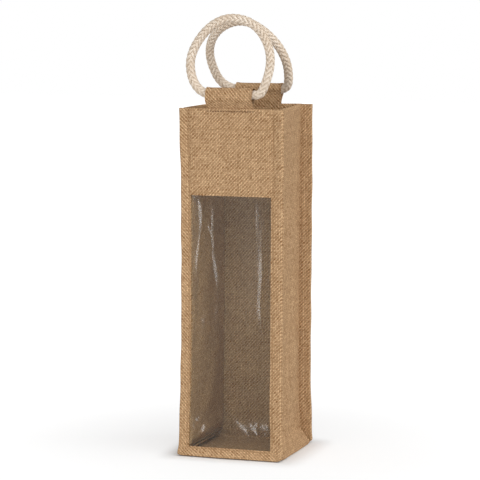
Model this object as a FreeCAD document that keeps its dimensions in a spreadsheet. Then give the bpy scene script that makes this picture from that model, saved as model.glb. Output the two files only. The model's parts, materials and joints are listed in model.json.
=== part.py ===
import FreeCAD, Part
import math
import os
import Sketcher

# A jute bag that carries one wine bottle upright, with a clear film window in its front and two
# rope handles. Millimetres. The origin is on the floor under the middle of the bag, X points to
# the right as seen from the front, Y to the back and Z up.

SIZES = (
    ("width", 110.0, "outside width over both side flanges"),
    ("depth", 106.0, "outside depth, front face to back face"),
    ("height", 360.0, "floor to the hemmed top edge"),
    ("ply", 1.1, "thickness of one ply of jute cloth"),
    ("flange", 11.0, "width of the seam flange round each panel"),
    ("fold", 3.0, "cloth taken up by the turn at a flange's outer edge"),
    ("hem", 24.0, "depth of the hem turned in at the top"),
    ("seam_clearance", 0.2, "gap left where two mitred allowances meet"),
    ("base_allowance", 6.0, "height of the base's allowance under each side skirt"),
    ("window_top", 271.0, "floor to the head of the window"),
    ("window_margin", 1.0, "cloth between a flange's inner edge and the window"),
    ("pane_thickness", 0.5, "thickness of the clear film"),
    ("pane_clearance", 0.1, "room for the film in the folded border"),
    ("pane_overlap", 6.0, "film caught in each flange"),
    ("pane_head", 10.0, "film that lies behind the cloth above the window"),
    ("sleeve_width", 52.0, "length of a handle sleeve along its rope"),
    ("sleeve_rise", 21.0, "height of a sleeve above the top edge"),
    ("sleeve_tail", 24.0, "sleeve cloth sewn inside the hem"),
    ("rope_diameter", 9.0, "diameter of the braided rope"),
    ("rope_clearance", 0.9, "slack of the sleeve round its rope, on the radius"),
    ("binding_length", 16.0, "length of the wrap that joins a rope's two ends"),
    ("binding_thickness", 0.3, "thickness of that wrap"),
    ("binding_clearance", 0.05, "gap between the wrap and the rope"),
    ("front_lean", 4.0, "degrees the front handle leans in over the mouth"),
    ("back_lean", 32.0, "degrees the back handle leans in over the mouth"),
    ("stitch_pitch", 6.0, "distance from stitch to stitch"),
    ("stitch_length", 4.2, "length of one stitch"),
    ("stitch_width", 0.8, "width of a stitch on the cloth"),
    ("stitch_crown", 0.4, "width of a stitch across its top"),
    ("stitch_rise", 0.4, "height of a stitch above the cloth"),
    ("seam_inset", 1.2, "seam row to the flange's inner edge"),
    ("row_inset", 3.0, "hem, sleeve and window rows to the edge they follow"),
    ("row_margin", 2.0, "end of a row to the end of the cloth it joins"),
)

# Routes of the two ropes in the plane of each handle: distance to the right of the middle, and
# height above the sleeve's axis. A rope leaves its sleeve on one side, loops over and comes back
# in on the other, and its ends butt inside the sleeve.
FRONT_ROUTE = (
    (0.5, 0.0), (29.5, 0.0), (39.5, 10.0), (44.5, 40.0), (29.0, 67.5), (0.0, 78.0),
    (-29.0, 67.5), (-44.5, 40.0), (-39.5, 10.0), (-29.5, 0.0), (-0.5, 0.0),
)
BACK_ROUTE = (
    (0.5, 0.0), (29.0, 0.0), (35.5, 10.0), (37.0, 34.0), (21.5, 69.0), (-5.0, 84.0),
    (-34.0, 75.0), (-50.5, 46.0), (-46.0, 14.0), (-32.0, 0.0), (-0.5, 0.0),
)
ARC_SHARE = 0.45

# Faces that several pieces share, measured from the middle of the bag.
WEB = "(bag.width / 2 - bag.flange)"
PANE_SLOT = "(bag.pane_thickness + bag.pane_clearance)"
FRONT_FLANGE = f"(2 * bag.ply + {PANE_SLOT})"
FRONT_LIP = f"(bag.depth / 2 - {FRONT_FLANGE})"
BACK_LIP = "(bag.depth / 2 - 2 * bag.ply)"
FRONT_WALL = f"({FRONT_LIP} - 2 * bag.ply)"
BACK_WALL = f"({BACK_LIP} - 2 * bag.ply)"
SLOPED_PAIR = "(2 * bag.ply * sqrt(2))"
SLEEVE_BORE = "(bag.rope_diameter / 2 + bag.rope_clearance)"
SLEEVE_ROUND = f"({SLEEVE_BORE} + bag.ply)"
SLEEVE_AXIS = f"(bag.height + bag.sleeve_rise - {SLEEVE_ROUND})"
SLEEVE_SEAT = "(bag.depth / 2 - 3 * bag.ply)"

SKETCH_ORIGIN = -1
LINE_START = 1
LINE_END = 2
CENTRE = 3
UP = FreeCAD.Vector(0, 0, 1)
RIGHT = FreeCAD.Vector(1, 0, 0)
BACK = FreeCAD.Vector(0, 1, 0)

doc = FreeCAD.newDocument("bottle_carrier")
bag = doc.addObject("Spreadsheet::Sheet", "bag")
for row, (name, number, meaning) in enumerate(SIZES, 1):
    bag.set(f"A{row}", meaning)
    bag.set(f"B{row}", str(number))
    bag.setAlias(f"B{row}", name)
doc.recompute()

subparts = []


def size(expression):
    """Value of an expression in the sheet's sizes."""
    return float(bag.evalExpression(expression))


def new_body(label):
    body = doc.addObject("PartDesign::Body", label)
    body.Label = label
    subparts.append(body)
    return body


def new_sketch(body, name, role, setback="0"):
    """Sketch on one of the body's origin planes, moved along the plane's normal."""
    sketch = body.newObject("Sketcher::SketchObject", f"{body.Name}_{name}_sketch")
    plane = next(item for item in body.Origin.OriginFeatures if item.Role == role)
    sketch.AttachmentSupport = [(plane, "")]
    sketch.MapMode = "FlatFace"
    sketch.setExpression("AttachmentOffset.Base.z", setback)
    return sketch


def tie(sketch, kind, line, expression):
    """Hold one coordinate of a line's start at a distance from the sketch's origin."""
    held = Sketcher.Constraint(kind, SKETCH_ORIGIN, LINE_START, line, LINE_START, size(expression))
    number = sketch.addConstraint(held)
    sketch.setExpression(f"Constraints[{number}]", expression)


def add_outline(sketch, corners):
    """Closed outline of straight lines whose corners are tied to the sheet."""
    points = [FreeCAD.Vector(size(across), size(up), 0) for across, up in corners]
    first = sketch.GeometryCount
    count = len(points)
    for index in range(count):
        sketch.addGeometry(Part.LineSegment(points[index], points[(index + 1) % count]))
    for index in range(count):
        following = first + (index + 1) % count
        meeting = Sketcher.Constraint("Coincident", first + index, LINE_END, following, LINE_START)
        sketch.addConstraint(meeting)
    for index, (across, up) in enumerate(corners):
        tie(sketch, "DistanceX", first + index, across)
        tie(sketch, "DistanceY", first + index, up)


def add_circle(sketch, radius):
    """Circle about the sketch's origin."""
    ring = sketch.addGeometry(Part.Circle(FreeCAD.Vector(), UP, size(radius)))
    sketch.addConstraint(Sketcher.Constraint("Coincident", ring, CENTRE, SKETCH_ORIGIN, LINE_START))
    number = sketch.addConstraint(Sketcher.Constraint("Radius", ring, size(radius)))
    sketch.setExpression(f"Constraints[{number}]", radius)


def pad(body, name, sketch, length, reverse=False, symmetric=False):
    feature = body.newObject("PartDesign::Pad", f"{body.Name}_{name}")
    feature.Profile = sketch
    feature.setExpression("Length", length)
    feature.Reversed = reverse
    if symmetric:
        feature.SideType = "Symmetric"
    return feature


def rectangle(left, right, low, high):
    return [(left, low), (right, low), (right, high), (left, high)]


def border(strip):
    """U-shaped strip down both sides and along the foot of a panel."""
    half = "bag.width / 2"
    inner = f"({half} - {strip})"
    return [
        (f"-{half}", "0"), (half, "0"), (half, "bag.height"), (inner, "bag.height"),
        (inner, strip), (f"-{inner}", strip), (f"-{inner}", "bag.height"), (f"-{half}", "bag.height"),
    ]


def window_outline():
    side = f"({WEB} - bag.window_margin)"
    return rectangle(f"-{side}", side, "(bag.flange + bag.window_margin)", "bag.window_top")


def make_panel(label, window, slot, turn, seat):
    """Front or back: one ply with its border folded back for the flanges and its top hemmed.

    The outer face is drawn at zero and the plies go inwards. A slot in the folded border takes
    the edge of the film.
    """
    body = new_body(label)
    outer = new_sketch(body, "outer_ply", "XZ_Plane")
    add_outline(outer, rectangle("-bag.width / 2", "bag.width / 2", "0", "bag.height"))
    if window:
        add_outline(outer, window)
    pad(body, "outer_ply", outer, "bag.ply", reverse=True)
    inner_face = "bag.ply"
    if slot:
        turned_edge = new_sketch(body, "turned_edge", "XZ_Plane", "-bag.ply")
        add_outline(turned_edge, border("bag.fold"))
        pad(body, "turned_edge", turned_edge, slot, reverse=True)
        inner_face = f"(bag.ply + {slot})"
    folded = new_sketch(body, "folded_ply", "XZ_Plane", f"-{inner_face}")
    add_outline(folded, border("bag.flange"))
    pad(body, "folded_ply", folded, "bag.ply", reverse=True)
    hem = new_sketch(body, "hem", "XZ_Plane", "-bag.ply")
    add_outline(hem, rectangle(f"-{WEB}", WEB, "(bag.height - bag.hem)", "bag.height"))
    pad(body, "hem", hem, "bag.ply", reverse=True)
    body.Placement = FreeCAD.Placement(FreeCAD.Vector(), FreeCAD.Rotation(UP, turn))
    body.setExpression("Placement.Base.y", seat)


def make_window_pane():
    """Clear film behind the window, its edges in the folded border of the front panel."""
    pane = doc.addObject("Part::Box", "window_pane")
    subparts.append(pane)
    low = "(bag.flange - bag.pane_overlap)"
    pane.setExpression("Length", f"2 * ({WEB} + bag.pane_overlap)")
    pane.setExpression("Width", "bag.pane_thickness")
    pane.setExpression("Height", f"bag.window_top + bag.pane_head - {low}")
    pane.setExpression("Placement.Base.x", f"-({WEB} + bag.pane_overlap)")
    pane.setExpression("Placement.Base.y", "bag.ply - bag.depth / 2")
    pane.setExpression("Placement.Base.z", low)


def make_gusset(label, sign):
    """Side wall set in behind the flanges, with an allowance along each panel.

    At the foot the wall turns out at 45 degrees to a skirt that reaches the floor in line with
    the flanges' outer edges.
    """
    body = new_body(label)
    edge = f"({sign}bag.width / 2)"
    wall = f"({sign}{WEB})"
    inside = f"({sign}({WEB} - bag.ply))"
    skirt_foot = (f"({sign}(bag.width / 2 - {SLOPED_PAIR}))", "0")
    skirt_head = (inside, f"(bag.flange + bag.ply - {SLOPED_PAIR})")
    section = new_sketch(body, "wall", "XZ_Plane", f"-{BACK_WALL}")
    add_outline(section, [
        (inside, "bag.height"), (wall, "bag.height"), (wall, "bag.flange"), (edge, "0"),
        skirt_foot, skirt_head,
    ])
    pad(body, "wall", section, f"{FRONT_WALL} + {BACK_WALL}")
    hem = new_sketch(body, "hem", "XZ_Plane", f"-{BACK_WALL}")
    turned = f"({sign}({WEB} - 2 * bag.ply))"
    add_outline(hem, rectangle(turned, inside, "(bag.height - bag.hem)", "bag.height"))
    pad(body, "hem", hem, f"{FRONT_WALL} + {BACK_WALL}")
    lip = [(inside, "bag.height"), (edge, "bag.height"), (edge, "0"), skirt_foot, skirt_head]
    front = new_sketch(body, "front_lip", "XZ_Plane", FRONT_WALL)
    add_outline(front, lip)
    pad(body, "front_lip", front, "2 * bag.ply")
    back = new_sketch(body, "back_lip", "XZ_Plane", f"-{BACK_LIP}")
    add_outline(back, lip)
    pad(body, "back_lip", back, "2 * bag.ply")


def make_base_panel():
    """Floor of the bag, with allowances up the front and back and under the side skirts."""
    body = new_body("base_panel")
    foot = f"(bag.width / 2 - {SLOPED_PAIR} - bag.seam_clearance)"
    top = "bag.base_allowance"
    outer_top = f"({foot} - bag.base_allowance)"
    inner_top = f"({outer_top} - {SLOPED_PAIR})"
    inner_foot = f"({foot} - {SLOPED_PAIR} - bag.ply)"
    floor = new_sketch(body, "floor", "XZ_Plane", f"-{BACK_WALL}")
    add_outline(floor, [
        (f"-{foot}", "0"), (foot, "0"), (outer_top, top), (inner_top, top),
        (inner_foot, "bag.ply"), (f"-{inner_foot}", "bag.ply"),
        (f"-{inner_top}", top), (f"-{outer_top}", top),
    ])
    pad(body, "floor", floor, f"{FRONT_WALL} + {BACK_WALL}")
    head = f"({foot} - bag.flange)"
    lip = [(f"-{foot}", "0"), (foot, "0"), (head, "bag.flange"), (f"-{head}", "bag.flange")]
    front = new_sketch(body, "front_lip", "XZ_Plane", FRONT_WALL)
    add_outline(front, lip)
    pad(body, "front_lip", front, "2 * bag.ply")
    back = new_sketch(body, "back_lip", "XZ_Plane", f"-{BACK_LIP}")
    add_outline(back, lip)
    pad(body, "back_lip", back, "2 * bag.ply")


def make_sleeve(label, seat):
    """Tab of cloth folded round a rope: a tunnel on top of a two-ply tail."""
    body = new_body(label)
    tunnel = new_sketch(body, "tunnel", "YZ_Plane")
    add_circle(tunnel, SLEEVE_ROUND)
    pad(body, "tunnel", tunnel, "bag.sleeve_width", symmetric=True)
    shoulder = f"({SLEEVE_ROUND} * sqrt(3) / 2)"
    neck = f"-(2 * {SLEEVE_ROUND} - bag.ply * sqrt(3))"
    foot = f"-(bag.sleeve_rise - {SLEEVE_ROUND} + bag.sleeve_tail)"
    tail = new_sketch(body, "tail", "YZ_Plane")
    add_outline(tail, [
        (f"-{shoulder}", f"-{SLEEVE_ROUND} / 2"), ("-bag.ply", neck), ("-bag.ply", foot),
        ("bag.ply", foot), ("bag.ply", neck), (shoulder, f"-{SLEEVE_ROUND} / 2"),
    ])
    pad(body, "tail", tail, "bag.sleeve_width", symmetric=True)
    bore = new_sketch(body, "bore", "YZ_Plane")
    add_circle(bore, SLEEVE_BORE)
    cut = body.newObject("PartDesign::Pocket", f"{label}_bore")
    cut.Profile = bore
    cut.setExpression("Length", "2 * bag.sleeve_width")
    cut.SideType = "Symmetric"
    body.setExpression("Placement.Base.y", seat)
    body.setExpression("Placement.Base.z", SLEEVE_AXIS)


def rope_path(route):
    """Straight runs joined by tangent arcs, each arc as large as its two runs allow."""
    points = [FreeCAD.Vector(across, 0, up) for across, up in route]
    edges = []
    radii = []
    here = points[0]
    for before, corner, after in zip(points, points[1:], points[2:]):
        arriving = corner - before
        leaving = after - corner
        half_turn = arriving.getAngle(leaving) / 2
        reach = ARC_SHARE * min(arriving.Length, leaving.Length)
        radius = reach / math.tan(half_turn)
        arriving.normalize()
        leaving.normalize()
        start = corner - arriving * reach
        end = corner + leaving * reach
        to_centre = leaving - arriving
        to_centre.normalize()
        middle = corner + to_centre * (radius / math.cos(half_turn) - radius)
        edges.append(Part.LineSegment(here, start).toShape())
        edges.append(Part.Arc(start, middle, end).toShape())
        radii.append(radius)
        here = end
    edges.append(Part.LineSegment(here, points[-1]).toShape())
    return Part.Wire(edges), radii


def handle_place(seat, lean):
    """Where a handle stands: on its sleeve's axis, leaning by some degrees about it."""
    axis = FreeCAD.Vector(0, size(seat), size(SLEEVE_AXIS))
    return FreeCAD.Placement(axis, FreeCAD.Rotation(RIGHT, size(lean)))


def make_rope(label, route, seat, lean):
    path, radii = rope_path(route)
    radius = size("bag.rope_diameter / 2")
    ring = Part.Wire(Part.makeCircle(radius, FreeCAD.Vector(route[0][0], 0, 0), RIGHT))
    tube = path.makePipeShell([ring], True, False)
    plain_volume = math.pi * radius ** 2 * path.Length
    print(label, "length", round(path.Length, 1), "volume share", round(tube.Volume / plain_volume, 4))
    print(label, "arc radii", [round(item, 1) for item in radii])
    rope = doc.addObject("Part::Feature", label)
    rope.Shape = tube
    rope.Placement = handle_place(seat, lean)
    subparts.append(rope)


def make_binding(label, seat, lean):
    """Thin wrap round the butted ends of a rope."""
    body = new_body(label)
    inner = "(bag.rope_diameter / 2 + bag.binding_clearance)"
    ring = new_sketch(body, "wrap", "YZ_Plane")
    add_circle(ring, inner)
    add_circle(ring, f"({inner} + bag.binding_thickness)")
    pad(body, "wrap", ring, "bag.binding_length", symmetric=True)
    body.Placement = handle_place(seat, lean)
    body.setExpression("Placement.Base.y", seat)
    body.setExpression("Placement.Base.z", SLEEVE_AXIS)


def stitch(middle, along, outward):
    """One stitch: a bar with sloping sides that lies on the cloth."""
    across = along.cross(outward)
    back_end = middle - along * (size("bag.stitch_length") / 2)
    foot = across * (size("bag.stitch_width") / 2)
    crown = across * (size("bag.stitch_crown") / 2)
    top = back_end + outward * size("bag.stitch_rise")
    corners = [back_end - foot, back_end + foot, top + crown, top - crown, back_end - foot]
    return Part.Face(Part.makePolygon(corners)).extrude(along * size("bag.stitch_length"))


def stitch_row(start, end, outward):
    """Stitches spread evenly from start to end."""
    along = end - start
    length = along.Length
    count = int(length / size("bag.stitch_pitch"))
    along.normalize()
    step = length / count
    return [stitch(start + along * (step * (index + 0.5)), along, outward) for index in range(count)]


def make_stitching(label, rows):
    thread = doc.addObject("Part::Feature", label)
    thread.Shape = Part.makeCompound([item for row in rows for item in stitch_row(*row)])
    subparts.append(thread)


def make_panel_stitching(side, face, outward):
    """Seam, hem and sleeve rows on the outer face of the front or the back."""
    seam = size(f"{WEB} + bag.seam_inset")
    foot = size("bag.flange - bag.seam_inset")
    head = size("bag.height - bag.row_margin")
    corners = [(-seam, head), (-seam, foot), (seam, foot), (seam, head)]
    spots = [FreeCAD.Vector(across, face, up) for across, up in corners]
    make_stitching(f"{side}_seam_stitching", [(a, b, outward) for a, b in zip(spots, spots[1:])])
    hem_end = FreeCAD.Vector(size(f"{WEB} - bag.row_margin"), 0, 0)
    hem = FreeCAD.Vector(0, face, size("bag.height - bag.hem + bag.row_inset"))
    make_stitching(f"{side}_hem_stitching", [(hem - hem_end, hem + hem_end, outward)])
    tab_end = FreeCAD.Vector(size("bag.sleeve_width / 2 - bag.row_margin"), 0, 0)
    tab = FreeCAD.Vector(0, face, size("bag.height - bag.row_inset"))
    make_stitching(f"{side}_sleeve_stitching", [(tab - tab_end, tab + tab_end, outward)])


def make_window_stitching():
    """Row across the head of the window, through the cloth and the film behind it."""
    end = FreeCAD.Vector(size(f"{WEB} - bag.row_margin"), 0, 0)
    row = FreeCAD.Vector(0, -size("bag.depth / 2"), size("bag.window_top + bag.row_inset"))
    make_stitching("window_stitching", [(row - end, row + end, -BACK)])


def make_side_stitching(side, sign):
    """Hem row on a gusset, and the row along the top of its skirt."""
    front = FreeCAD.Vector(0, size(f"bag.row_margin - {FRONT_WALL}"), 0)
    back = FreeCAD.Vector(0, size(f"{BACK_WALL} - bag.row_margin"), 0)
    hem = FreeCAD.Vector(sign * size(WEB), 0, size("bag.height - bag.hem + bag.row_inset"))
    make_stitching(f"{side}_hem_stitching", [(hem + front, hem + back, RIGHT * sign)])
    drop = size("bag.seam_inset / sqrt(2)")
    skirt = FreeCAD.Vector(sign * (size(WEB) + drop), 0, size("bag.flange") - drop)
    slope = FreeCAD.Vector(sign, 0, 1)
    slope.normalize()
    make_stitching(f"{side}_base_stitching", [(skirt + front, skirt + back, slope)])


make_panel("front_panel", window_outline(), PANE_SLOT, 0, "-bag.depth / 2")
make_window_pane()
make_panel("back_panel", None, None, 180, "bag.depth / 2")
make_gusset("left_gusset", "-")
make_gusset("right_gusset", "")
make_base_panel()
make_sleeve("front_handle_sleeve", f"-{SLEEVE_SEAT}")
make_sleeve("back_handle_sleeve", SLEEVE_SEAT)
make_rope("front_rope", FRONT_ROUTE, f"-{SLEEVE_SEAT}", "-bag.front_lean")
make_rope("back_rope", BACK_ROUTE, SLEEVE_SEAT, "bag.back_lean")
make_binding("front_rope_binding", f"-{SLEEVE_SEAT}", "-bag.front_lean")
make_binding("back_rope_binding", SLEEVE_SEAT, "bag.back_lean")
make_panel_stitching("front", -size("bag.depth / 2"), -BACK)
make_panel_stitching("back", size("bag.depth / 2"), BACK)
make_window_stitching()
make_side_stitching("left", -1)
make_side_stitching("right", 1)
doc.recompute()

for item in doc.Objects:
    if "Invalid" in item.State or "Error" in item.State:
        raise RuntimeError(f"{item.Name} failed: {item.State}")
for item in subparts:
    if item.Shape.isNull() or not item.Shape.isValid():
        raise RuntimeError(f"{item.Label} has no valid shape")

os.makedirs("parts", exist_ok=True)
for item in subparts:
    item.Shape.exportStep(os.path.join("parts", f"{item.Label}.step"))
    print(item.Label, len(item.Shape.Solids), "solids", round(item.Shape.Volume), "mm3")
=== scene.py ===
# %% [markdown]
# # A jute carrier with a window and two rope handles
# The object is a tall square bag of natural jute cloth. A window of clear film is let into the front,
# and a loop of cotton rope runs through a cloth sleeve on the front edge and on the back edge.
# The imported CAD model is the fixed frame: it holds the sizes and the two hinges.
# This lesson dresses it with rope, cloth, film and thread. All shapes are worked out in millimetres.

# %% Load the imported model
import json
import math

import bmesh
import bpy
import numpy as np
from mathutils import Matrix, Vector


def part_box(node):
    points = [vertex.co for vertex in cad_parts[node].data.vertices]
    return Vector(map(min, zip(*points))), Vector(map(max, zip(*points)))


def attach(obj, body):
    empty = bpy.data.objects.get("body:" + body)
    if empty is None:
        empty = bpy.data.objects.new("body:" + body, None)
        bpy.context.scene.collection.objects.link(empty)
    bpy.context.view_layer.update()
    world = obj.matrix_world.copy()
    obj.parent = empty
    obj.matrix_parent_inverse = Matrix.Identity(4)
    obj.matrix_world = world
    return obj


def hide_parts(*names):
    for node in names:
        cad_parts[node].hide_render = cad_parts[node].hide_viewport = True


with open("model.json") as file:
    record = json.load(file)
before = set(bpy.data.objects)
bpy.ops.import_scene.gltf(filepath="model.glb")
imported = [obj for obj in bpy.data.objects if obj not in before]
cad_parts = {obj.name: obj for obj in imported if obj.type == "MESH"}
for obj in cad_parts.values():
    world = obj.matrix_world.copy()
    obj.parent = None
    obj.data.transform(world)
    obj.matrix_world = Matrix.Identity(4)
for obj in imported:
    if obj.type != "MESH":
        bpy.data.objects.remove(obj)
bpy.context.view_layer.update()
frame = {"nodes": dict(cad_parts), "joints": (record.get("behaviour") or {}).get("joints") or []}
scene = bpy.context.scene
MM = 0.001


# %% [markdown]
# ## Camera
# The photograph was taken from a little above the bag and from the right of its front, with a long lens:
# upright edges stay almost parallel. The place, turn and lens were fitted to the corners of the bag.

# %% Camera
CAMERA_DOWN, CAMERA_TURN = 6.835, 18.30  # degrees below level, and round from the front


def put(name, data):
    """A new object in the scene, at the origin."""
    thing = bpy.data.objects.new(name, data)
    scene.collection.objects.link(thing)
    return thing


camera = put("camera", bpy.data.cameras.new("camera"))
camera.data.sensor_width = 36
camera.data.lens = 171.95
camera.location = (0.7349, -2.2433, 0.5036)
camera.rotation_euler = (math.radians(90 - CAMERA_DOWN), 0, math.radians(CAMERA_TURN))
scene.camera = camera
print("camera lens", camera.data.lens, "mm")

# %% [markdown]
# ## Rope lines
# Each handle is a length of rope whose ends meet inside the sleeve. It stands up by its own stiffness.
# The route is the list of points of the CAD source, across the bag and up from the hinge, each moved by a
# few millimetres to follow the photographed loop. A NURBS spline of order 3 takes them as control points,
# so that the rope bends as one smooth line. A point is added on each long run through a sleeve, to keep
# the rope straight until it is out of the mouth.

# %% Rope lines
ROPE_ROUTES = {
    "front": [(0.5, 0), (14, 0), (25, -0.9), (33.5, 1), (43.9, 38), (27.9, 69.4), (-1, 78.6),
              (-26.4, 67.6), (-45.1, 39.5), (-43, 14.6), (-31, 0), (-13, 0), (-0.5, 0)],
    "back": [(0.5, 0), (10, 0), (26.2, 0), (32.3, 9.2), (34, 37.4), (22, 65.8), (-4.1, 87),
             (-35, 75.6), (-51.4, 47.7), (-46.8, 11.6), (-33.4, 0), (-15.8, 0), (-0.5, 0)],
}
ROPE_TILT = {"front": 3.8, "back": -30.4}  # degrees from upright, towards the back
HINGES = {joint["child"].removesuffix("_handle"): np.array(joint["pos_m"]) / MM for joint in frame["joints"]}


def as_mesh(thing):
    """A plain mesh of what an object looks like with its modifiers or as a curve."""
    return bpy.data.meshes.new_from_object(thing.evaluated_get(bpy.context.evaluated_depsgraph_get()))


def rope_line(side):
    """Points along the rope's middle, in millimetres, read from a NURBS spline."""
    tilt = math.radians(ROPE_TILT[side])
    curve = bpy.data.curves.new(f"{side}_rope_line", "CURVE")
    curve.dimensions = "3D"
    spline = curve.splines.new("NURBS")
    spline.points.add(len(ROPE_ROUTES[side]) - 1)
    for point, (across, up) in zip(spline.points, ROPE_ROUTES[side]):
        place = HINGES[side] + (across, up * math.sin(tilt), up * math.cos(tilt))
        point.co = (*(place * MM), 1)
    spline.order_u = 3
    spline.use_endpoint_u = True
    spline.resolution_u = 16
    carrier = put(curve.name, curve)
    line = as_mesh(carrier)
    bpy.data.objects.remove(carrier)
    return np.array([vertex.co for vertex in line.vertices]) / MM


def along(points):
    """Distance along a line of points, from its first."""
    return np.concatenate([[0], np.cumsum(np.linalg.norm(np.diff(points, axis=0), axis=1))])


rope_lines = {side: rope_line(side) for side in ROPE_ROUTES}

# %% [markdown]
# ## Colours and nodes
# Colours are written as they are read in a picture, as sRGB hex values, and one function makes them linear.
# One more function adds a node with its settings and links, for materials and for geometry alike. A kind of
# node is named without its prefix, and a node given as an input feeds it from its first output.

# %% Colours and nodes
PREFIXES = ("GeometryNode", "FunctionNode", "ShaderNode")


def linear(hex_colour):
    channels = [int(hex_colour[i:i + 2], 16) / 255 for i in (1, 3, 5)]
    return (*[c / 12.92 if c <= 0.04045 else ((c + 0.055) / 1.055) ** 2.4 for c in channels], 1)


def feed(node, *inputs):
    """Set or link a node's inputs: in the order of its sockets, or by name or place in a dictionary."""
    named = inputs[0] if inputs and isinstance(inputs[0], dict) else dict(enumerate(inputs))
    for name, value in named.items():
        value = value.outputs[0] if isinstance(value, bpy.types.Node) else value
        if isinstance(value, bpy.types.NodeSocket):
            node.id_data.links.new(value, node.inputs[name])
        else:
            node.inputs[name].default_value = value


def add(tree, kind, *inputs, **settings):
    """A new node with its settings and its inputs."""
    node = tree.nodes.new(next((p + kind for p in PREFIXES if hasattr(bpy.types, p + kind)), kind))
    for name, value in settings.items():
        setattr(node, name, value)
    feed(node, *inputs)
    return node


def new_material(name):
    """A material with a plain Principled shader, its tree and that shader."""
    material = bpy.data.materials.new(name)
    material.use_nodes = True
    return material, material.node_tree, material.node_tree.nodes["Principled BSDF"]


print("a mid grey of #808080 is", round(linear("#808080")[0], 3), "in linear light")

# %% [markdown]
# ## Woven jute
# Jute sacking is a plain weave of coarse hairy yarn, a little under 2 mm from thread to thread. It is matt,
# and its yarns differ in tone and thickness. Where a yarn passes over another it shows as a short float.
# The yarn's twist makes each float lean, so the floats line up in slanting rows, and the warp's are paler
# than the weft's. The pattern is worked out from the cloth's own UV map, which holds metres along the
# two threads: the warp runs up the bag and the weft across it. The higher of the two is the one seen.

# %% Jute threads
WARP_PITCH, WEFT_PITCH = 1.77, 1.87  # mm from thread to thread
FLOAT_LEAN = 0.22  # of the pitch
WANDER = 0.9  # of the pitch, the range in which threads wander
SLUB_LENGTH = 0.16  # of the noise, to draw its spots out into slubs along the yarn
WARP_TONE, WEFT_TONE = 0.1, -0.18
jute, tree, shader = new_material("woven_jute")
cloth_uv = add(tree, "UVMap", uv_map="cloth")
drift = add(tree, "TexNoise", {"Vector": cloth_uv, "Scale": 45, "Detail": 1}, noise_dimensions="2D")
drift = add(tree, "VectorMath", drift.outputs["Color"], (0.5, 0.5, 0.5), operation="SUBTRACT")
per_metre = (1 / (WARP_PITCH * MM), 1 / (WEFT_PITCH * MM), 0)
threads = add(tree, "VectorMath", cloth_uv, per_metre, operation="MULTIPLY")
threads = add(tree, "VectorMath", drift, (WANDER, WANDER, 0), threads, operation="MULTIPLY_ADD")
crossings = add(tree, "VectorMath", threads, operation="FLOOR")
each_float = add(tree, "TexWhiteNoise", {"Vector": crossings}, noise_dimensions="2D")
weft_way, warp_way = add(tree, "SeparateXYZ", threads).outputs[:2]
heights, tones = [], []
both = ((warp_way, weft_way, 0.0, WARP_TONE), (weft_way, warp_way, math.pi, WEFT_TONE))
for run, across, turn, paler in both:
    number = add(tree, "Math", across, operation="FLOOR")
    place = add(tree, "Math", across, operation="FRACT")
    yarn = add(tree, "TexWhiteNoise", {"W": number}, noise_dimensions="1D")
    stretch = add(tree, "Math", run, SLUB_LENGTH, operation="MULTIPLY")
    where = add(tree, "CombineXYZ", stretch, number, 7 * turn)
    slub = add(tree, "TexNoise", {"Vector": where, "Scale": 1.7, "Detail": 1})
    crossing = add(tree, "Math", number, run, operation="ADD")
    crossing = add(tree, "Math", crossing, math.pi, turn - math.pi / 2, operation="MULTIPLY_ADD")
    swing = add(tree, "Math", crossing, operation="COSINE")
    lean = add(tree, "Math", crossing, operation="SINE")
    place = add(tree, "Math", lean, -FLOAT_LEAN, place, operation="MULTIPLY_ADD", use_clamp=True)
    round_yarn = add(tree, "Math", place, math.pi, operation="MULTIPLY")
    round_yarn = add(tree, "Math", round_yarn, operation="SINE")
    thick = add(tree, "Math", slub, 0.5, 0.35, operation="MULTIPLY_ADD")
    arched = add(tree, "Math", round_yarn, thick, swing, operation="MULTIPLY_ADD")
    heights.append(add(tree, "Math", arched, round_yarn, operation="MULTIPLY"))
    tone = add(tree, "Math", yarn, 0.12, paler, operation="MULTIPLY_ADD")
    tones.append(add(tree, "Math", slub, 0.35, tone, operation="MULTIPLY_ADD"))
print("jute threads", WARP_PITCH, "and", WEFT_PITCH, "mm apart")

# %% [markdown]
# The colour comes from the yarn on top, with fine fibres and a tone for each float, and the gaps between
# threads are painted darker as shade. The height of the same yarn is the relief. The cloth is matt, with hardly
# any shine.

# %% Jute colour and relief
warp, weft = heights
top = add(tree, "Math", warp, weft, operation="MAXIMUM")
warp_on_top = add(tree, "Math", warp, weft, operation="GREATER_THAN")
tone = add(tree, "Mix", {0: warp_on_top, 2: tones[1], 3: tones[0]}, data_type="FLOAT")
fibre = add(tree, "TexNoise", {"Vector": cloth_uv, "Scale": 900, "Detail": 3}, noise_dimensions="2D")
for detail in (fibre, each_float):
    tone = add(tree, "Math", detail, 0.3, tone, operation="MULTIPLY_ADD")
yarn_colour = add(tree, "ValToRGB", tone)
for stop, position, colour in zip(yarn_colour.color_ramp.elements, (0.1, 0.85), ("#89633f", "#dbb88f")):
    stop.position, stop.color = position, linear(colour)
# The darker gap colour is painted shade between the threads, where the yarn lies low.
gap_shade = add(tree, "MapRange", {"Value": top, "From Max": 0.45, "To Min": 1, "To Max": 0},
             interpolation_type="SMOOTHSTEP")
colour = add(tree, "Mix", {0: gap_shade, 6: yarn_colour, 7: linear("#664729")}, data_type="RGBA")
bump = add(tree, "Bump", {"Height": top, "Strength": 0.5, "Distance": 0.35 * MM})
feed(shader, {"Base Color": colour.outputs[2], "Normal": bump, "Roughness": 0.9, "Specular IOR Level": 0.2})
print("woven jute:", len(tree.nodes), "nodes")
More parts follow.
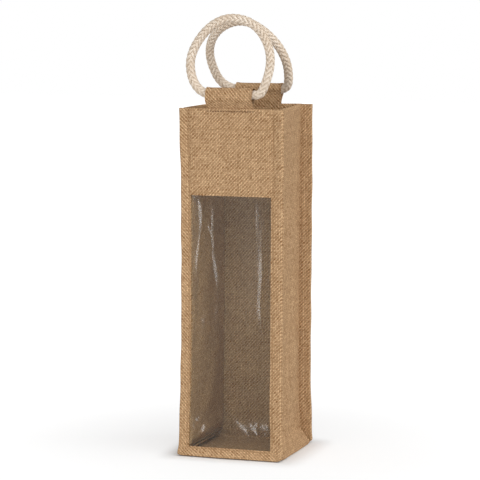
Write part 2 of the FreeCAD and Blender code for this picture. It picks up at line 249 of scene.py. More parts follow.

# %% [markdown]
# ## Braided cotton
# The rope is natural cotton, soft and matt, a warm white. Each strand of the braid is a bundle of finer
# twisted yarns, which show as slanting ridges along it, in the relief and as painted shade in the colour. The
# strands' edges are darker, as painted shade in the crevices between strands. Both follow a UV map that the
# braid makes: metres along the strand, and the share of the way round it.

# %% Braided cotton
YARN_TWIST = 5.0  # mm along the strand for one turn of its yarns
YARNS = 6  # in a strand
cotton, tree, shader = new_material("braided_cotton")
strand_uv = add(tree, "UVMap", uv_map="strand")
turns = add(tree, "VectorMath", strand_uv, (1 / (YARN_TWIST * MM), 1, 0), operation="DOT_PRODUCT")
ridges = add(tree, "Math", turns.outputs["Value"], 2 * math.pi * YARNS, operation="MULTIPLY")
ridges = add(tree, "Math", ridges, operation="SINE")
place = add(tree, "TexCoord").outputs["Object"]
soil = add(tree, "TexNoise", {"Vector": place, "Scale": 45, "Detail": 3})
fluff = add(tree, "TexNoise", {"Vector": place, "Scale": 1400, "Detail": 2})
# The ridges shift the colour a little, as painted shade between the yarns.
tone = add(tree, "Math", ridges, 0.12, soil, operation="MULTIPLY_ADD")
cotton_colour = add(tree, "ValToRGB", tone)
for stop, position, colour in zip(cotton_colour.color_ramp.elements, (0.3, 0.72), ("#e2cfba", "#f6eadb")):
    stop.position, stop.color = position, linear(colour)
round_strand = add(tree, "SeparateXYZ", strand_uv).outputs["Y"]
# The darker colour at each strand's edges is painted shade in the crevices between strands.
crevice_shade = add(tree, "Math", round_strand, 2 * math.pi, operation="MULTIPLY")
crevice_shade = add(tree, "Math", crevice_shade, operation="SINE")
crevice_shade = add(tree, "Math", crevice_shade, 4, operation="POWER")
colour = add(tree, "Mix", {0: crevice_shade, 6: cotton_colour, 7: linear("#c9b59e")}, data_type="RGBA")
relief = add(tree, "Math", fluff, 0.8, ridges, operation="MULTIPLY_ADD")
bump = add(tree, "Bump", {"Height": relief, "Strength": 0.5, "Distance": 0.12 * MM})
feed(shader, {"Base Color": colour.outputs[2], "Normal": bump, "Roughness": 0.85, "Specular IOR Level": 0.25})
print("cotton yarns turn once in", YARN_TWIST, "mm")

# %% [markdown]
# ## Braid
# The rope is a round braid of twelve strands, six turning each way, where every strand goes over two
# and under two others. That makes the small chevrons of the photograph. The shape follows a rule, so
# Geometry Nodes make it: the line is copied once for each strand, each copy is wound round the line, and
# its distance from the line swings with the crossings.

# %% Braid tree: strand lines


def geometry_tree(name, sizes):
    """An empty Geometry Nodes tree with named inputs, the sockets of those inputs and its output node."""
    tree = bpy.data.node_groups.new(name, "GeometryNodeTree")
    tree.interface.new_socket("Geometry", in_out="OUTPUT", socket_type="NodeSocketGeometry")
    for label, kind in {"Geometry": "Geometry", **sizes}.items():
        tree.interface.new_socket(label, in_out="INPUT", socket_type=f"NodeSocket{kind}")
    return tree, tree.nodes.new("NodeGroupInput").outputs, tree.nodes.new("NodeGroupOutput")


braid, given, result = geometry_tree("round_braid", {
    "Strands Each Way": "Int", "Lay": "Float", "Middle Radius": "Float", "Swing": "Float",
    "Strand Width": "Float", "Strand Thickness": "Float", "Core Radius": "Float", "Material": "Material",
})
line = add(braid, "MeshToCurve", given["Geometry"])
line = add(braid, "ResampleCurve", {"Curve": line, "Length": 0.9 * MM}, mode="LENGTH")
both_ways = add(braid, "Math", given["Strands Each Way"], 2, operation="MULTIPLY")
copies = add(braid, "DuplicateElements", {"Geometry": line, "Amount": both_ways}, domain="SPLINE")
number = copies.outputs["Duplicate Index"]
way = add(braid, "Math", number, 2, operation="MODULO")
way = add(braid, "Math", way, -2, 1, operation="MULTIPLY_ADD")
pair = add(braid, "Math", number, 0.5, operation="MULTIPLY")
pair = add(braid, "Math", pair, operation="FLOOR")
length = add(braid, "SplineParameter").outputs["Length"]
turns = add(braid, "Math", length, given["Lay"], operation="DIVIDE")
turns = add(braid, "Math", turns, way, operation="MULTIPLY")
share = add(braid, "Math", pair, given["Strands Each Way"], operation="DIVIDE")
angle = add(braid, "Math", turns, share, operation="ADD")
angle = add(braid, "Math", angle, 2 * math.pi, operation="MULTIPLY")
phase = add(braid, "Math", turns, given["Strands Each Way"], operation="MULTIPLY")
phase = add(braid, "Math", phase, math.pi, math.pi / 4, operation="MULTIPLY_ADD")
phase = add(braid, "Math", pair, math.pi, phase, operation="MULTIPLY_ADD")
swing = add(braid, "Math", phase, operation="SINE")
swing = add(braid, "Math", swing, way, operation="MULTIPLY")
radius = add(braid, "Math", swing, given["Swing"], given["Middle Radius"], operation="MULTIPLY_ADD")
normal = add(braid, "InputNormal")
side = add(braid, "VectorMath", add(braid, "InputTangent"), normal, operation="CROSS_PRODUCT")
cosine = add(braid, "Math", angle, operation="COSINE")
sine = add(braid, "Math", angle, operation="SINE")
radial = add(braid, "VectorMath", {0: normal, "Scale": cosine}, operation="SCALE")
side = add(braid, "VectorMath", {0: side, "Scale": sine}, operation="SCALE")
radial = add(braid, "VectorMath", radial, side, operation="ADD")
kept = add(braid, "CaptureAttribute")
kept.capture_items.new("VECTOR", "Radial")
kept.capture_items.new("FLOAT", "Length")
feed(kept, {"Geometry": copies, "Radial": radial, "Length": length})
offset = add(braid, "VectorMath", {0: kept.outputs["Radial"], "Scale": radius}, operation="SCALE")
wound = add(braid, "SetPosition", {"Geometry": kept, "Offset": offset})
wound = add(braid, "SetCurveNormal", {"Curve": wound, "Normal": kept.outputs["Radial"]}, mode="FREE")
print("strand lines:", len(braid.nodes), "nodes")

# %% [markdown]
# A flat bundle is then swept along each strand's line, with its flat side turned outwards, and a plain core
# fills the middle. The place along and round each strand is stored as the UV map that the cotton reads.

# %% Braid tree: strands and core
flat = add(braid, "CombineXYZ", given["Strand Thickness"], given["Strand Width"])
flat = add(braid, "VectorMath", {0: flat, "Scale": 0.5}, operation="SCALE")
bundle = add(braid, "CurvePrimitiveCircle", {"Resolution": 8, "Radius": 1.0})
bundle = add(braid, "Transform", {"Geometry": bundle, "Scale": flat})
bundle_round = add(braid, "CaptureAttribute")
bundle_round.capture_items.new("FLOAT", "Round")
feed(bundle_round, {"Geometry": bundle, "Round": add(braid, "SplineParameter").outputs["Factor"]})
strands = add(braid, "CurveToMesh", {"Curve": wound, "Profile Curve": bundle_round, "Fill Caps": True})
strand_place = add(braid, "CombineXYZ", kept.outputs["Length"], bundle_round.outputs["Round"])
strands = add(braid, "StoreNamedAttribute", {"Geometry": strands, "Name": "strand", "Value": strand_place},
              data_type="FLOAT2", domain="CORNER")
middle = add(braid, "CurvePrimitiveCircle", {"Resolution": 12, "Radius": given["Core Radius"]})
core = add(braid, "CurveToMesh", {"Curve": line, "Profile Curve": middle, "Fill Caps": True})
joined = add(braid, "JoinGeometry")
for piece in (core, strands):
    feed(joined, piece)
whole = add(braid, "RealizeInstances", add(braid, "SetShadeSmooth", joined))
feed(result, add(braid, "SetMaterial", {"Geometry": whole, "Material": given["Material"]}))
print("whole braid:", len(braid.nodes), "nodes")

# %% [markdown]
# Each rope gets the tree on its line of points. The result is turned into a plain mesh, because instances
# and live trees are lost in an export. The rope then moves with its handle.

# %% Ropes
BRAID = {"Strands Each Way": 6, "Lay": 33 * MM, "Middle Radius": 3.5 * MM, "Swing": 0.5 * MM,
         "Strand Width": 3.5 * MM, "Strand Thickness": 1.5 * MM, "Core Radius": 3.2 * MM, "Material": cotton}
SLEEVE_EDGES = {"front": (-25.8, 23.4), "back": (-27.0, 23.0)}  # mm across the bag


def settle(thing, modifier):
    """Give an object what its modifier makes as its own plain mesh, and remove the modifier."""
    made = as_mesh(thing)
    thing.modifiers.remove(modifier)
    thing.data = made


def grow(name, mesh, tree, sizes):
    """A plain mesh object: what the tree makes of the mesh with those sizes."""
    seed = put(name, mesh)
    modifier = seed.modifiers.new("grow", "NODES")
    modifier.node_group = tree
    for socket in tree.interface.items_tree:
        if socket.in_out == "INPUT" and socket.name in sizes:
            modifier[socket.identifier] = sizes[socket.name]
    settle(seed, modifier)
    return seed


def dress(piece, body, slot, *nodes):
    """The piece moves with a body and stands for CAD nodes, which are hidden; the slot is not used."""
    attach(piece, body)
    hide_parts(*nodes)


for side, points in rope_lines.items():
    line = bpy.data.meshes.new(f"{side}_rope")
    line.from_pydata(points * MM, [(i, i + 1) for i in range(len(points) - 1)], [])
    rope = grow(f"{side}_braid", line, braid, BRAID)
    dress(rope, f"{side}_handle", "cotton_rope", f"{side}_rope")
    print(rope.name, len(rope.data.polygons), "faces")

# %% [markdown]
# ## The soft shape of the bag
# A sewn bag isn't straight like the CAD solid. Its sides draw in at the waist, its walls bow in between
# the seams, its seams pull in, its foot flares and stands just off the table, its flanges ripple, and the
# leaning rope pulls the back hem forward. One function moves any point of the bag by the same smooth
# amounts, so plies, stitches and film that lie on each other stay together. It does nothing near the
# hinges, where the rope has to fit its sleeve.

# %% Sizes of the bag
low, high = (np.array(corner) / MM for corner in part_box("front_panel"))
HALF, FRONT, HEIGHT = high[0], low[1], high[2]
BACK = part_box("back_panel")[1].y / MM
FLANGE = 11.0
SEAM = 9.8  # mm from the outer edge to the row of stitches
CORNER_RADIUS = 4.0
print("bag, mm: half width", HALF, "front", FRONT, "back", BACK, "height", HEIGHT)

# %% Soft shape
WAIST_LEFT, WAIST_RIGHT = 1.7, 0.85  # mm that each side draws in
FLARE_LEFT, FLARE_RIGHT = 2.0, 1.6  # mm that each side stands out again at the foot
SET_OUT = 0.6  # mm that the right side stands out all the way up
SIDE_BOW, PANEL_BOW, BOW_TOP = 2.4, 1.6, 336  # mm that walls bow in, and up to what height
RIPPLE, EDGE_WAVE = 0.55, 0.2  # mm that the flanges wave, out of and in their plane
LEFT_LEAN, WINDOW_LEAN = 1.1, 0.7  # mm to the left at the foot, and at the window's left edge
FOOT_FLARE, FOOT_WAVE, FOOT_LIFT, FOOT_SAG = 3.0, 0.5, 1.1, 1.2  # mm at the panels' lower flanges
SEAM_PULL, HEM_PULL = 1.3, 4.0  # mm that stitches draw panels in, and that the rope draws the back hem


def ease(share):
    """0 before 0, 1 after 1, and smooth between."""
    share = np.clip(share, 0, 1)
    return share * share * (3 - 2 * share)


def hump(distance, width):
    """1 at no distance, and falling smoothly to nothing on both sides."""
    return np.exp(-(distance / width) ** 2)


def lay(*columns):
    """Columns of coordinates side by side, each spread to the shape that they share."""
    return np.stack(np.broadcast_arrays(*columns), -1)


def soften(points):
    """The same points, in millimetres, on the bag as it stands."""
    x, y, z = np.moveaxis(np.array(points, float), -1, 0)
    side, face = np.sign(x), np.sign(y)
    flange = np.clip((np.abs(x) - HALF + FLANGE) / FLANGE, 0, 1) ** 1.5
    at_panels = np.clip((np.abs(y) - 44) / 6, 0, 1)
    foot = np.clip((FLANGE + 1 - z) / FLANGE, 0, 1) ** 1.2 * at_panels
    # The lower corners are rounded.
    past_x = np.clip(np.abs(x) - HALF + CORNER_RADIUS, 0, None)
    past_z = np.clip(CORNER_RADIUS - z, 0, None)
    reach = np.hypot(past_x, past_z)
    inside = np.where(reach > 0, np.maximum(past_x, past_z) / np.where(reach > 0, reach, 1), 1)
    cut = (1 - inside) * np.clip((np.abs(y) - 40) / 8, 0, 1)
    # The sides draw in, lean and wave.
    left = WAIST_LEFT * ease((z - 10) / 165) * ease((HEIGHT - 3 - z) / 80) - FLARE_LEFT * np.exp(-z / 10)
    right = WAIST_RIGHT * ease((290 - z) / 200) - FLARE_RIGHT * ease((58 - z) / 33) - SET_OUT
    belly = np.sin(np.pi * np.clip(z / BOW_TOP, 0, 1))
    between_panels = np.cos(np.pi * np.clip(y / (2 * BACK), -0.5, 0.5)) ** 2
    new_x = x - side * past_x * cut
    new_x -= x / HALF * (np.where(x < 0, left, right) + SIDE_BOW * belly * between_panels)
    new_x += EDGE_WAVE * flange * np.sin(z / 7.3 + y / 31)
    new_x -= LEFT_LEAN * ease((100 - z) / 85) * ease((25 - y) / 70)
    new_x -= WINDOW_LEAN * hump(x + 43, 3) * ease((-44 - y) / 3)
    # The panels bow in, ripple, flare at the foot, and are drawn in by the seams and the rope.
    between_sides = np.cos(np.pi * np.clip(x / (2 * HALF), -0.5, 0.5)) ** 2
    ripple = flange * np.sin(np.pi * np.clip(z / HEIGHT, 0, 1)) ** 0.5
    ripple = ripple * np.sin(z / 12 + 2.1 * side + 0.9 * face)
    new_y = y - y / BACK * PANEL_BOW * belly * between_sides + RIPPLE * ripple
    new_y += foot * (FOOT_FLARE * face + FOOT_WAVE * np.sin(x / 14 + face))
    seam_from = np.where(y < 0, 262, 15)
    at_seam = ease((z - seam_from) / 25) * ease((HEIGHT + 2 - z) / 12) * ease((np.abs(y) - 38) / 8)
    new_y -= SEAM_PULL * face * at_seam * hump(HALF - np.abs(x) - SEAM, 4.5)
    at_hem = ease((z - 290) / 60) * ease((HEIGHT + 12 - z) / 12)
    new_y -= HEM_PULL * at_hem * ease((y - 30) / 10) * ease((42 - np.abs(x)) / 22)
    new_z = z + past_z * cut + FOOT_LIFT * foot - FOOT_SAG * at_panels * hump(z - 13, 9)
    return lay(new_x, new_y, new_z)


waist = soften([(side * HALF, 0, HEIGHT / 2) for side in (-1, 1)])
print("side walls at half height, mm:", waist[:, 0].round(1).tolist())

# %% [markdown]
# ## Sewing a sheet
# A piece of cloth is made as the real one is: a thin sheet, cut, folded and laid where it is sewn. Each
# sheet is one or more grids of points down its middle, with the cloth's own coordinates as a UV map.
# Grids that share an edge are welded. The Solidify modifier then gives the sheet its thickness.

# %% Sewing a sheet
PLY = 1.1
WELD, SLIVER = 0.02, 0.005  # mm
SHARP = math.radians(55)


def grid_quads(rows, columns, first=0):
    """The squares of a grid of points that are counted row by row."""
    index = first + np.arange(rows * columns).reshape(rows, columns)
    corners = [index[:-1, :-1], index[1:, :-1], index[1:, 1:], index[:-1, 1:]]
    return np.stack(corners, -1).reshape(-1, 4)


def sew(name, patches, ply, material, body, slot, node):
    """One closed sheet from grids of points and grids of cloth coordinates, in millimetres."""
    points = np.concatenate([soften(grid).reshape(-1, 3) for grid, cloth in patches])
    coordinates = np.concatenate([cloth.reshape(-1, 2) for grid, cloth in patches])
    firsts = np.cumsum([0] + [grid[..., 0].size for grid, cloth in patches])
    quads = np.concatenate([
        grid_quads(*grid.shape[:2], first) for (grid, cloth), first in zip(patches, firsts)])
    mesh = bpy.data.meshes.new(name)
    mesh.from_pydata(points * MM, [], quads.tolist())
    mesh.uv_layers.new(name="cloth").data.foreach_set("uv", (coordinates[quads.ravel()] * MM).ravel())
    welded = bmesh.new()
    welded.from_mesh(mesh)
    bmesh.ops.remove_doubles(welded, verts=welded.verts, dist=WELD * MM)
    bmesh.ops.dissolve_degenerate(welded, edges=welded.edges, dist=SLIVER * MM)
    bmesh.ops.recalc_face_normals(welded, faces=welded.faces)
    welded.to_mesh(mesh)
    welded.free()
    sheet = put(name, mesh)
    solidify = sheet.modifiers.new("thickness", "SOLIDIFY")
    solidify.thickness = ply * MM
    solidify.offset = 0
    settle(sheet, solidify)
    sheet.data.shade_smooth()
    sheet.data.set_sharp_from_angle(angle=SHARP)
    sheet.data.materials.clear()
    sheet.data.materials.append(material)
    dress(sheet, body, slot, node)
    print(name, len(sheet.data.polygons), "faces")
    return sheet


def cut_size(patches):
    """Width and length of the cloth before it was folded, in metres."""
    return (np.ptp(np.concatenate([cloth.reshape(-1, 2) for grid, cloth in patches]), axis=0) * MM).tolist()


print("cloth", PLY, "mm thick")

# %% [markdown]
# ## Slack walls
# Cloth between sewn edges is never tight: it has a little more length than the gap, and buckles. Blender's
# Cloth makes that here. A flat wall is held all round, grows by its slack, and settles into soft dents. It
# is tiny for the solver, so it is simulated ten times as large.

# %% Slack walls
SETTLE_FRAMES = 24
SOLVER_SCALE = 10 * MM
CLOTH = {"quality": 6, "mass": 0.3, "tension_stiffness": 20, "compression_stiffness": 20, "shear_stiffness": 8,
         "bending_stiffness": 4, "vertex_group_mass": "held"}


def slacken(grid, outward, slack, limit):
    """How far each point of a flat wall moves when it buckles between its held edges, in millimetres."""
    rows, columns = grid.shape[:2]
    row, column = np.mgrid[0:rows, 0:columns]
    seed = 0.5 * np.sin(row * 0.31 + column * 0.17) + 0.4 * np.sin(column * 0.43 - row * 0.11 + 1)
    held = (row == 0) | (row == rows - 1) | (column == 0) | (column == columns - 1)
    start = (grid + np.where(held, 0, seed)[..., None] * outward) * SOLVER_SCALE
    mesh = bpy.data.meshes.new("slack_wall")
    mesh.from_pydata(start.reshape(-1, 3), [], grid_quads(rows, columns).tolist())
    wall = put("slack_wall", mesh)
    wall.vertex_groups.new(name="held").add(np.flatnonzero(held).tolist(), 1, "REPLACE")
    cloth = wall.modifiers.new("cloth", "CLOTH").settings
    for setting, value in CLOTH.items():
        setattr(cloth, setting, value)
    cloth.shrink_min = -slack
    cloth.effector_weights.gravity = 0
    for number in range(1, SETTLE_FRAMES + 1):
        scene.frame_set(number)
    settled = wall.evaluated_get(bpy.context.evaluated_depsgraph_get()).data
    ends = np.array([vertex.co for vertex in settled.vertices]).reshape(grid.shape) / SOLVER_SCALE
    bpy.data.objects.remove(wall)
    scene.frame_set(1)
    moved = (ends - grid) @ np.array(outward, float)
    moved *= min(1, limit / max(np.abs(moved).max(), 1e-6))
    print("slack wall", rows, "x", columns, "moved up to", round(float(np.abs(moved).max()), 2), "mm")
    return moved


print("slack settles in", SETTLE_FRAMES, "frames")

# %% [markdown]
# ## Front and back panels
# Each panel is one ply of jute. Down both sides and along the foot its border is turned back on itself
# and sewn to the next wall, so that a flat flange stands out along every edge. The foot's strip meets the
# side strips in a mitre, which shows as a crease at each corner. The top is turned in for a hem.
# The left strip shows the cloth's other face, where the floats lean the other way.
# The front's middle is cut out for the window, and its fold leaves room for the film.

# %% Panel rows and folds
BORDER = 12.0  # mm from the outer edge to the window
HEM = 24.0
WINDOW_TOP = 271.0
HEM_ROW, SLEEVE_ROW, FILM_ROW = HEIGHT - HEM + 3, HEIGHT - 3, WINDOW_TOP + 3  # mm, heights of stitches
ACROSS = np.linspace(BORDER - HALF, HALF - BORDER, 31)
LOW_ROWS = np.linspace(BORDER, WINDOW_TOP, 88)
HIGH_ROWS = np.concatenate([
    np.linspace(WINDOW_TOP, HEIGHT - HEM, 23), np.linspace(HEIGHT - HEM, HEIGHT - 6, 9)[1:],
    HEIGHT - np.array([4.4, 3.6, 3.0, 2.4, 1.8, PLY])])
hem_bend = np.linspace(0, np.pi, 7)
HEM_IN = np.concatenate([PLY / 2 * (1 - np.cos(hem_bend)), np.full(9, PLY)])
HEM_UP = np.concatenate([HEIGHT - PLY + PLY / 2 * np.sin(hem_bend),
                         np.linspace(HEIGHT - PLY, HEIGHT - HEM, 10)[1:]])
FACE_INSETS = [12, 11.4, 10.8, 10.3, 9.8, 9.3, 8.7, 7.8, 6.8, 5.8, 4.8, 3.8, 3.0, 2.2]  # mm from the edge
MITRE = 1.5  # mm, depth of the crease at the lower corners


def dent(distance, depth):
    """Depth of the groove that a row of stitches pulls into the cloth, at a distance from the row."""
    return depth * hump(distance, 1.0)


def border_profile(gap):
    """Across a turned-back border, from its inner edge: distance from the outer edge, and depth."""
    bend = (PLY + gap) / 2
    turn = bend + PLY / 2
    flat = np.array([*FACE_INSETS, turn])
    face = lay(flat, PLY / 2 + dent(flat - SEAM, 0.3))
    bends = np.linspace(0, np.pi, 8)[1:-1]
    fold = lay(turn - bend * np.sin(bends), PLY / 2 + bend * (1 - np.cos(bends)))
    return np.concatenate([face, fold, lay(np.linspace(turn, FLANGE, 6), PLY / 2 + 2 * bend)])


print("a border takes", round(float(along(border_profile(0))[-1]), 1), "mm of cloth")

# %% Panels
FILM_GAP = 0.6
OTHER_FACE, FOOT_STRIP, BACK_CLOTH = 300, 500, 900  # mm, where strips and panels lie on the uncut cloth
PANEL_SLACK, PANEL_LIMIT = 0.006, 1.8  # share of the length, and mm


def border_patches(gap):
    """Grids of (across, depth, up) and of cloth coordinates for a panel's side strips and foot strip."""
    profile = border_profile(gap)
    inset, depth = profile.T[..., None]
    length = along(profile)[:, None]
    room = BORDER - inset
    ends = inset + np.concatenate([0 * room, np.minimum(0.7, 0.2 * room), 0.35 * room, 0.65 * room], 1)
    crease = MITRE * (np.arange(len(inset)) <= len(FACE_INSETS))[:, None]
    rows = np.concatenate([LOW_ROWS, HIGH_ROWS[1:], [HEIGHT - 0.3]])
    up = np.concatenate([ends, np.tile(rows, (len(inset), 1))], 1)
    deep = depth + np.where(inset > 2, dent(up - HEM_ROW, 0.05) * (depth < 1), 0)
    deep[:, :1] += crease
    patches = [(lay(sign * (HALF - inset), deep, up), lay(HALF - BORDER + length + shift, up))
               for sign, shift in ((-1, OTHER_FACE), (1, 0))]
    wide = np.concatenate([ends - HALF, np.tile(ACROSS, (len(inset), 1)), (HALF - ends)[:, ::-1]], 1)
    deep = np.repeat(depth, wide.shape[1], 1)
    deep[:, [0, -1]] += crease
    return [*patches, (lay(wide, deep, inset), lay(FOOT_STRIP + length, wide))]


def middle_patch(window):
    """Grids for a panel between its strips, with the hem: all of it, or the part above the window."""
    rows = HIGH_ROWS if window else np.concatenate([LOW_ROWS, HIGH_ROWS[1:]])
    deep = PLY / 2 + dent(rows - HEM_ROW, 0.05) + (dent(rows - FILM_ROW, 0.1) if window else 0)
    deep = deep[:, None] + dent(rows - SLEEVE_ROW, 0.9)[:, None] * ease((26 - np.abs(ACROSS)) / 2)
    if not window:
        wall = lay(ACROSS, 0.0, LOW_ROWS[:, None])
        deep[:len(LOW_ROWS)] += slacken(wall, (0, 1, 0), PANEL_SLACK, PANEL_LIMIT)
    hem_deep = PLY / 2 + HEM_IN[1:]
    up = np.concatenate([rows, HEM_UP[1:]])
    deep = np.concatenate([deep, np.tile(hem_deep[:, None], (1, len(ACROSS)))])
    turned = rows[0] + along(lay(up, np.concatenate([np.full(len(rows), PLY / 2), hem_deep])))
    return lay(ACROSS, deep, up[:, None]), lay(ACROSS, turned[:, None])


for name, face, inwards, gap in (("front_panel", FRONT, 1, FILM_GAP), ("back_panel", BACK, -1, 0.0)):
    window = name == "front_panel"
    patches = [(grid * (1, inwards, 1) + (0, face, 0), cloth + (0, 0 if window else BACK_CLOTH))
               for grid, cloth in (*border_patches(gap), middle_patch(window))]
    panel = sew(f"{name}_cloth", patches, PLY, jute, "bag", "jute_cloth", name)
    turned = along(border_profile(gap))[-1]
    cut = (2 * (HALF - BORDER + turned) * MM, (HEIGHT - BORDER + turned + HEM) * MM)

# %% [markdown]
# ## Side gussets
# Each side wall is set back between the flanges. At both edges the cloth turns outwards, runs along the
# panel's flange, and is folded back, with its raw edge inside. At the foot the wall slopes out to the floor,
# and towards the mouth it eases outwards. A section across the wall is made for every height.

# %% Gusset sections
LIPS = {"front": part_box("left_gusset")[0].y / MM, "back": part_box("left_gusset")[1].y / MM}
FOOT = 16.0  # mm, height of the slope at the foot
SWELL, MOUTH_SWELL = 1.4, 0.8  # mm that the wall stands out between its seams, and does at the mouth
WALL = HALF - FLANGE - PLY / 2 - SWELL
FOLD = HALF - PLY
MOUTH_FROM, MOUTH_RISE = 285, 75  # mm, where the wall starts to ease outwards, and over what height
FRONT_EASE = 9.5  # mm outwards at the mouth, at the front edge
NEAR_LIP = np.array([0.0015, 0.003, 0.005, 0.0075, 0.011, 0.016, 0.023, 0.033])
SHARE = np.concatenate([NEAR_LIP, np.linspace(0.045, 0.955, 31), 1 - NEAR_LIP[::-1]])  # across the wall


def gusset_edge(up, set_out, at_mouth):
    """Half a section, outwards and inwards: from the raw edge, round the fold, to the wall."""
    opened = ease((up - MOUTH_FROM) / MOUTH_RISE)
    slope = HALF - 0.8 * PLY - up * FLANGE / FOOT
    wall = WALL + set_out * (1 - opened) + at_mouth * opened
    wall = min(max(wall, slope) + 0.35 * hump(up - FOOT, 1.2), FOLD - 0.5)
    bend = min(0.5 + 0.9 * ease((up - FOOT) / 4), (FOLD - wall) * 0.6)
    raw = min(max(HALF - FLANGE + 1, wall + 1.2), FOLD - 0.2)
    arc = np.linspace(0, np.pi, 7)[1:-1]
    quarter = np.linspace(0, np.pi / 2, 6)
    return np.concatenate([
        lay(np.linspace(raw, FOLD, 5), PLY / 2),
        lay(FOLD + PLY / 2 * np.sin(arc), PLY - PLY / 2 * np.cos(arc)),
        lay(np.linspace(FOLD, wall + bend, 9)[:-1], 1.5 * PLY),
        lay(wall + bend - bend * np.sin(quarter), 1.5 * PLY + bend * (1 - np.cos(quarter)))])


def gusset_section(up, set_out, at_back):
    """The right wall's section at a height: distances to the side and to the back."""
    front = gusset_edge(up, set_out, FRONT_EASE) + (0, LIPS["front"])
    back = gusset_edge(up, 0, at_back) * (1, -1) + (0, LIPS["back"])
    opened = ease((up - MOUTH_FROM) / MOUTH_RISE)
    middle = front[-1] + SHARE[:, None] * (back[-1] - front[-1])
    swell = opened * MOUTH_SWELL + SWELL * ease((up - FOOT) / 20) * (1 - opened)
    middle[:, 0] += swell * (1 - np.abs(2 * SHARE - 1) ** 6)
    section = np.concatenate([front, middle, back[::-1]])
    from_lip = np.minimum(section[:, 1] - LIPS["front"], LIPS["back"] - section[:, 1]) - 1.5 * PLY
    pucker = 0.8 * hump(from_lip - 2.6, 1.0) - 2.2 * hump(from_lip - 0.8, 0.6)
    section[:, 0] += pucker * (from_lip > 0.1) * ease((FOOT + 2 - up) / 3) * ease(up / 3)
    return section


EDGE = len(gusset_edge(HEIGHT / 2, 0, 0)) - 1  # place of the wall's first point in a section
print("a section has", len(gusset_section(HEIGHT / 2, 0, 0)), "points")

# %% [markdown]
# The sections are stacked into a wall, the slack is added between its edges, and the hem is turned in at the
# top. The left gusset is the right one mirrored, with its own slack and a front edge that is set further out.

# %% Gussets
FOOT_ROWS = [0.6, 1.6, 2.8, 4.2, 5.6, 7, 8.4, 9.8, 11, 12, 13, 14]
GUSSET_ROWS = np.concatenate([FOOT_ROWS, LOW_ROWS[1:], HIGH_ROWS[1:]])
PLAIN_ROW = 60  # a row of the straight part, where the cloth's width is measured
INNER_COLUMN = EDGE + 16  # a column well inside the wall, which the hem follows
GUSSET_SLACK, GUSSET_LIMIT = 0.009, 2.2  # share of the length, and mm
GUSSET_CLOTH = 200  # mm, steps on the uncut cloth


def gusset_patches(slack, set_out, at_back):
    """Grids of points and of cloth coordinates for the right side wall and its hem."""
    sections = np.array([gusset_section(up, set_out, at_back) for up in GUSSET_ROWS])
    inner = slice(EDGE, EDGE + len(SHARE) + 2)
    whole = np.concatenate([[0], SHARE, [1]])
    slack = np.array([np.interp(whole, np.linspace(0, 1, len(row)), row) for row in slack])
    sections[len(FOOT_ROWS):len(FOOT_ROWS) + len(LOW_ROWS) - 1, inner, 0] += slack[1:]
    lengths = along(sections[PLAIN_ROW])
    drop = np.clip(FOOT - GUSSET_ROWS, 0, None) * (math.hypot(1, FLANGE / FOOT) - 1)
    grid = lay(*np.moveaxis(sections, -1, 0), GUSSET_ROWS[:, None])
    edge, y = sections[-1, inner].T
    eased = np.interp(np.minimum(HEM_UP, HEIGHT - PLY), GUSSET_ROWS, sections[:, INNER_COLUMN, 0])
    hem = lay(edge + (eased - eased[0] - HEM_IN)[:, None], y, HEM_UP[:, None])
    turned = HEIGHT - PLY + along(lay(HEM_IN, HEM_UP))
    return [(grid, lay(lengths, (GUSSET_ROWS - drop)[:, None])), (hem, lay(lengths[inner], turned[:, None]))]


wall = lay(0.0, np.linspace(LIPS["front"] + 3, LIPS["back"] - 3, 34), LOW_ROWS[:, None])
for sign, side, set_out, at_back in ((-1, "left", 1.8, 5.5), (1, "right", 0, 1.0)):
    slack = np.zeros(wall.shape[:2])
    slack = sign * slacken(wall, (1, 0, 0), GUSSET_SLACK, GUSSET_LIMIT)
    patches = [(grid * (sign, 1, 1), cloth + (GUSSET_CLOTH * (sign + 2), 0))
               for grid, cloth in gusset_patches(slack, set_out, at_back)]
    gusset = sew(f"{side}_gusset_cloth", patches, PLY, jute, "bag", "jute_cloth", f"{side}_gusset")

# %% [markdown]
# ## Base
# The floor of the bag is one more ply, turned up inside the front and back flanges and under both side
# slopes, where it is sewn. It is not quite flat: its middle stands a little off the table.

# %% Base
BASE_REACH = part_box("base_panel")[1].x / MM - 1.3
BASE_LOW = PLY / 2 + 0.05  # mm, height of the middle of the ply
BASE_CROWN = 1.2  # mm that the middle stands higher
BASE_CLOTH = 1400  # mm, place on the uncut cloth
wide = np.linspace(-BASE_REACH, BASE_REACH, 27)
deep = np.linspace(LIPS["front"] + 2.4, LIPS["back"] - 2.4, 25)
crown = BASE_CROWN * np.cos(np.pi * wide / (2 * BASE_REACH)) * np.cos(np.pi * deep / (2 * deep[-1]))[:, None]
patches = [(lay(wide, deep[:, None], BASE_LOW + np.clip(crown, 0, None)), lay(wide, deep[:, None]))]
rise = np.array([0, 0.5, 1.2, 2.2, 4, 6, 8, 10.2])[:, None]
out = np.array([0, 0.75, 1.15, 1.3, 1.3, 1.3, 1.3, 1.3])[:, None]
turned = along(np.concatenate([rise, out], 1))[:, None]
for inwards, edge in ((1, deep[0]), (-1, deep[-1])):
    grid = lay(wide * (1 - rise / BASE_REACH), edge - inwards * out, BASE_LOW + rise)
    patches.append((grid, lay(wide, edge - inwards * turned)))
rise = np.array([0, 0.7, 1.8, 3.2, 4.6, 6.0])[:, None]
for sign in (-1, 1):
    grid = lay(sign * (BASE_REACH - np.clip(rise - 0.6, 0, None)), deep, BASE_LOW + rise)
    patches.append((grid, lay(sign * (BASE_REACH + 1.4 * rise), deep)))
patches = [(grid, cloth + BASE_CLOTH) for grid, cloth in patches]
base = sew("base_cloth", patches, PLY, jute, "bag", "jute_cloth", "base_panel")
cut = cut_size(patches)
